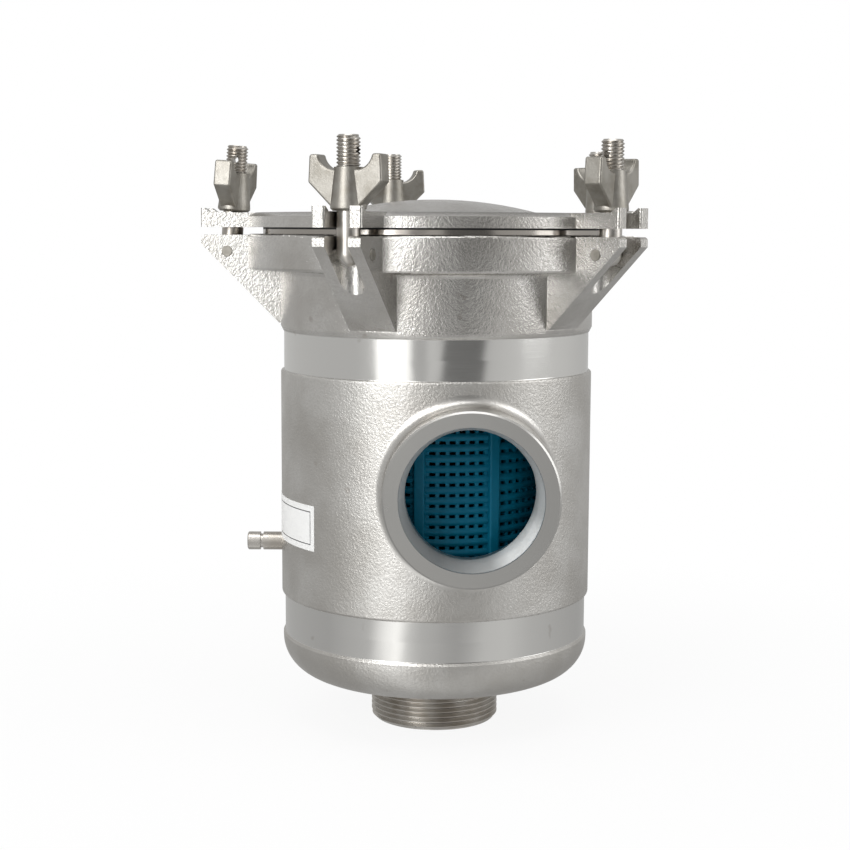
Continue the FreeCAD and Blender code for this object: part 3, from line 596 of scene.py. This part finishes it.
def makeBoltBlank():
    bm = bmesh.new()
    helicalSkin(bm, boltShape)
    radius, high = boltShape["radius"], boltShape["high"]
    foot = boundaryAt(bm, boltShape["low"])
    bmesh.ops.contextual_create(bm, geom=boundaryAt(bm, high))
    trimRadius(bm, lambda z: radius - max(0.0, z - high + boltShape["endChamfer"]))
    rings = [(radius, boltShape["low"]), (radius, 0.0)]
    for turn in map(math.radians, boltShape["ballAngles"]):
        rings.append((radius * math.cos(turn), -radius * math.sin(turn)))
    below = foot
    for width, height in rings:
        ring = addRing(bm, width, height, boltShape["sides"])
        bridge(bm, below, ring)
        below = ring
    bmesh.ops.contextual_create(bm, geom=below)
    bmesh.ops.recalc_face_normals(bm, faces=bm.faces)
    return addObject("boltBlank", meshFrom("boltBlank", bm))


def makeBoltMesh():
    blank = makeBoltBlank()
    cutters = [crossHole("eyeCutter", boltShape["eye"], 0.0),
               crossHole("wireCutter", boltShape["wireHole"], boltShape["wireHoleHeight"])]
    for cutter in cutters:
        cut = blank.modifiers.new(cutter.name, "BOOLEAN")
        cut.operation = "DIFFERENCE"
        cut.solver = "EXACT"
        cut.object = cutter
    bpy.context.view_layer.update()
    drilled = bpy.data.meshes.new_from_object(blank.evaluated_get(bpy.context.evaluated_depsgraph_get()))
    for spare in [blank, *cutters]:
        bpy.data.objects.remove(spare)
    return drilled


boltMesh = makeBoltMesh()
clampNumbers = range(1, len(clamps["azimuths"]) + 1)
for number in clampNumbers:
    boltCopy = boltMesh.copy()
    boltCopy.transform(clampMatrix(number - 1))
    placeMesh("threadedBolt%d" % number, boltCopy, "turned", "swing_bolt_%d" % number, "turned_steel",
              "swing_bolt_%d" % number, sharpAngle=boltShape["sharpAngle"])
print("swing bolts made:", len(boltMesh.polygons), "faces each")


# basket wall

basketWall = {
    "radius": 53.0 * mm,
    "wall": 1.8 * mm,
    "low": 39.5 * mm,
    "high": 203.0 * mm,
    "rows": 35,
    "barRise": 0.9 * mm,
    "barSteps": 4,
    "barFullness": 0.7,  # below 1 the bars bulge more
    "panels": 10,
    "slotsPerPanel": 6,
    "slotShare": 0.30,
    "postShare": 0.38,
    "ribWidth": 5.0 * mm,
    "ribRadius": 55.4 * mm,
    "ribAzimuth": 28.5,
    "ribEdge": 0.8 * mm,
    "sharpAngle": 40,
}


def ribTurn(index):
    return math.radians(basketWall["ribAzimuth"]) + index * math.tau / basketWall["panels"]


def makeBasketWall():
    # a flat grid with the slots cut out, rolled up and given its wall, then the ribs
    wall = basketWall
    barSteps = wall["barSteps"]
    rowSteps = barSteps + 1
    rows = wall["rows"] * rowSteps
    panelSteps = 2 * wall["slotsPerPanel"] + 1
    columns = wall["panels"] * panelSteps
    bm = bmesh.new()
    bmesh.ops.create_grid(bm, x_segments=columns, y_segments=rows, size=0.5)
    slots = []
    for face in bm.faces:
        centre = face.calc_center_median()
        column = int((centre.x + 0.5) * columns) % panelSteps
        row = int((centre.y + 0.5) * rows) % rowSteps
        if row == barSteps and column % 2 == 1:
            slots.append(face)
    bmesh.ops.delete(bm, geom=slots, context="FACES")
    ribAngle = wall["ribWidth"] / wall["radius"]
    panelAngle = math.tau / wall["panels"] - ribAngle
    pitch = panelAngle / (wall["slotsPerPanel"] + wall["postShare"])
    rowHeight = (wall["high"] - wall["low"]) / wall["rows"]
    for vert in bm.verts:
        panel, step = divmod(round((vert.co.x + 0.5) * columns), panelSteps)
        angle = ribTurn(panel)
        if step > 0:
            slot, edge = divmod(step - 1, 2)
            angle += ribAngle / 2 + (slot + wall["postShare"] + edge * (1 - wall["postShare"])) * pitch
        row, part = divmod(round((vert.co.y + 0.5) * rows), rowSteps)
        share = part / barSteps
        bulge = math.sin(math.pi * min(share, 1.0)) ** wall["barFullness"]
        radius = wall["radius"] + wall["barRise"] * bulge
        height = wall["low"] + (row + share * (1 - wall["slotShare"])) * rowHeight
        vert.co = (radius * math.sin(angle), -radius * math.cos(angle), height)
    bmesh.ops.remove_doubles(bm, verts=bm.verts, dist=0.01 * mm)
    bmesh.ops.recalc_face_normals(bm, faces=bm.faces)
    bmesh.ops.solidify(bm, geom=bm.faces[:], thickness=wall["wall"])
    depth = wall["ribRadius"] - wall["radius"] + wall["wall"]
    size = Matrix.Diagonal((wall["ribWidth"], depth, wall["high"] - wall["low"], 1))
    middle = Vector((0, -wall["ribRadius"] + depth / 2, (wall["high"] + wall["low"]) / 2))
    for index in range(wall["panels"]):
        matrix = Matrix.Rotation(ribTurn(index), 4, "Z") @ Matrix.Translation(middle) @ size
        made = bmesh.ops.create_cube(bm, size=1, matrix=matrix)
        edges = dict.fromkeys(edge for vert in made["verts"] for edge in vert.link_edges)
        upright = [edge for edge in edges if abs(edge.verts[0].co.z - edge.verts[1].co.z) > 1 * mm]
        bmesh.ops.bevel(bm, geom=upright, offset=wall["ribEdge"], offset_type="OFFSET", segments=3,
                        profile=0.5, affect="EDGES", material=-1)
    newPiece("basketWall", bm, "basket", "basket", "basket_plastic", "basket_screen",
             sharpAngle=wall["sharpAngle"])


makeBasketWall()
print("basket wall made")


# blank sticker, with its settings beside its paint above

def makeSticker():
    start, stop = (math.radians(side) for side in sticker["azimuths"])
    foot = Vector((math.sin(start), -math.cos(start), 0)) * (sticker["radius"] + sticker["thickness"])
    bm = bmesh.new()
    verts = [bm.verts.new(foot + Vector((0, 0, height))) for height in sticker["heights"]]
    edge = bm.edges.new(verts)
    bmesh.ops.spin(bm, geom=verts + [edge], axis=(0, 0, 1), cent=(0, 0, 0), angle=stop - start,
                   steps=sticker["steps"], use_merge=False)
    bmesh.ops.recalc_face_normals(bm, faces=bm.faces)
    if bm.faces[:][0].normal.dot(foot) < 0:
        bmesh.ops.reverse_faces(bm, faces=bm.faces)
    bmesh.ops.solidify(bm, geom=bm.faces[:], thickness=sticker["paperShare"] * sticker["thickness"])
    newPiece("blankSticker", bm, "sticker", "housing", "basket_plastic")


makeSticker()
print("sticker made")


# solids kept as they are, with smooth shading

skins = [
    # finish, body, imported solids
    ("vessel", "housing", ["body_casting", "neck_casting", "bottom_cap"]),
    ("socket", "housing", ["inlet_socket"]),
    ("turned", "housing", ["bonding_boss", "bonding_washer", "bonding_screw"]),
    ("wingNut", "housing", ["pivot_pin_%d" % number for number in clampNumbers]),
    ("seal", "housing", ["outlet_seal"]),
    ("vessel", "cover", ["cover"]),
    ("seal", "cover", ["cover_gasket"]),
    ("basket", "basket", ["basket_base", "basket_lid"]),
    ("turned", "basket", ["basket_handle"]),
]
for number in clampNumbers:
    skins.append(("wingNut", "wing_nut_%d" % number, ["wing_nut_%d" % number]))
slotOf = {entry["node"]: entry["material_slot"] for entry in frame["record"]["subparts"]}
for finish, body, names in skins:
    for name in names:
        smoothCopy(name, finish, body, slotOf[name])
print("skins made")


# camera

view = {
    "azimuth": 0,
    "distance": 760 * mm,
    "height": 230 * mm,
    "pitchDown": 0.12,
    "roll": 0.0046,
    "yaw": 0.0066,
    "focalPixels": 1634.3,
    "framePixels": 850,
    "sensor": 36,
    "nearest": 0.01,
    "farthest": 20,
}


def makeCamera():
    data = bpy.data.cameras.new("studioCamera")
    camera = addObject("studioCamera", data)
    data.sensor_width = view["sensor"]
    data.lens = view["focalPixels"] / view["framePixels"] * view["sensor"]
    data.clip_start = view["nearest"]
    data.clip_end = view["farthest"]
    yaw, pitch, roll = view["yaw"], view["pitchDown"], view["roll"]
    across = Vector((math.cos(yaw), math.sin(yaw), 0))
    ahead = Vector((-math.sin(yaw) * math.cos(pitch), math.cos(yaw) * math.cos(pitch), -math.sin(pitch)))
    above = across.cross(ahead)
    right = across * math.cos(roll) + above * math.sin(roll)
    up = above * math.cos(roll) - across * math.sin(roll)
    facing = Matrix((right, up, -ahead)).transposed().to_4x4()
    place = Matrix.Translation((0, -view["distance"], view["height"]))
    camera.matrix_world = Matrix.Rotation(math.radians(view["azimuth"]), 4, "Z") @ place @ facing
    bpy.context.scene.camera = camera


makeCamera()


# floor, world and lamps

studio = {
    "floorSize": 6.0,
    "floorMatt": rgba(0.8, 0.8, 0.8),
    "floorWhite": 1.0,
    "floorShare": 0.9,  # of the camera's view of the floor near the object; the rest takes the shadow
    "shadowReach": (0.14, 0.42),
    "worldLight": 0.6,
    "warmth": (1.0, 0.995, 0.98),
    "room": [
        # what smooth metal mirrors: azimuth from the camera, brightness
        (-180, 0.60), (-140, 0.62), (-100, 0.60), (-60, 0.58), (-46, 0.66), (-43, 1.7), (-20, 1.7),
        (-17, 0.50), (-8, 0.52), (-5, 0.74), (3, 0.70), (6, 0.20), (34, 0.17), (38, 0.62), (75, 0.76),
        (110, 0.70), (150, 0.55),
    ],
    "table": [
        # the same below the horizon, as the lower band shows it
        (-180, 0.50), (-125, 0.50), (-87, 0.46), (-69, 0.54), (-50, 0.60), (-38, 1.15), (-28, 1.45),
        (-20, 0.78), (-10, 0.60), (8, 0.50), (17, 0.46), (26, 0.54), (36, 0.68), (55, 0.70), (77, 0.58),
        (103, 0.52), (140, 0.44),
    ],
    "tableEdge": (-0.20, -0.11),
    "lampTarget": (0, 0, 0.13),
    "lamps": [
        # name, azimuth from the camera, elevation, distance, width, height, power
        ("keyLamp", -36, 24, 1.6, 0.6, 1.3, 12),
        ("fillLamp", 78, 20, 1.7, 0.8, 1.2, 6),
        ("topLamp", -10, 74, 1.5, 1.2, 1.2, 9),
    ],
}


def lightPath(board, name):
    # outputs of the node: 0 for camera rays, 3 for glossy ones
    return board.node("ShaderNodeLightPath", output={"camera": 0, "glossy": 3}[name])


def mixShader(board, factor, first, second):
    return board.node("ShaderNodeMixShader", None, {0: factor, 1: first, 2: second})


def background(board, colour, strength):
    return board.node("ShaderNodeBackground", None, {0: colour, 1: strength})


def makeFloor():
    bm = bmesh.new()
    bmesh.ops.create_grid(bm, x_segments=1, y_segments=1, size=studio["floorSize"])
    mesh = meshFrom("studioFloor", bm)
    floor = addObject("studioFloor", mesh)
    material = bpy.data.materials.new("floorWhite")
    material.use_nodes = True
    board = Board(material.node_tree)
    x, y = axisPlaces(board, objectCoords(board))[:2]
    away = board.smoothStep(distanceFrom(board, x, y), *studio["shadowReach"])
    share = studio["floorShare"] + away * (1 - studio["floorShare"])
    matt = board.node("ShaderNodeBsdfDiffuse", None, {"Color": studio["floorMatt"]})
    white = board.node("ShaderNodeEmission", None,
                       {"Color": rgba(1, 1, 1), "Strength": studio["floorWhite"]})
    clear = board.node("ShaderNodeBsdfTransparent")
    shown = mixShader(board, lightPath(board, "camera") * share, matt, white)
    both = mixShader(board, lightPath(board, "glossy"), shown, clear)
    board.node("ShaderNodeOutputMaterial", None, {"Surface": both})
    mesh.materials.append(material)


def makeWorld():
    world = bpy.data.worlds.new("studioWorld")
    bpy.context.scene.world = world
    world.use_nodes = True
    board = Board(world.node_tree)
    x, y, z = axisPlaces(board, board.node("ShaderNodeTexCoord", output=0))
    turn = board.maths("ARCTAN2", x, y * -1) - math.radians(view["azimuth"])
    table, room = (board.rampRound(turn, studio[part], studio["warmth"]) for part in ("table", "room"))
    pattern = board.mixColour(board.smoothStep(z, *studio["tableEdge"]), table, room)
    plain = background(board, rgba(1, 1, 1), studio["worldLight"])
    mirrored = background(board, pattern, 1.0)
    white = background(board, rgba(1, 1, 1), 1.0)
    unseen = mixShader(board, lightPath(board, "glossy"), plain, mirrored)
    both = mixShader(board, lightPath(board, "camera"), unseen, white)
    board.node("ShaderNodeOutputWorld", None, {"Surface": both})


def makeLamps():
    target = Vector(studio["lampTarget"])
    for name, azimuth, elevation, distance, width, height, power in studio["lamps"]:
        data = bpy.data.lights.new(name, "AREA")
        data.shape = "RECTANGLE"
        data.size = width
        data.size_y = height
        data.energy = power
        lamp = addObject(name, data)
        turn = math.radians(azimuth + view["azimuth"])
        rise = math.radians(elevation)
        offset = Vector((math.sin(turn) * math.cos(rise), -math.cos(turn) * math.cos(rise), math.sin(rise)))
        lamp.location = target + offset * distance
        lamp.rotation_euler = offset.to_track_quat("Z", "Y").to_euler()


makeFloor()
makeWorld()
makeLamps()
bpy.context.scene.view_settings.view_transform = "Standard"
print("studio made")
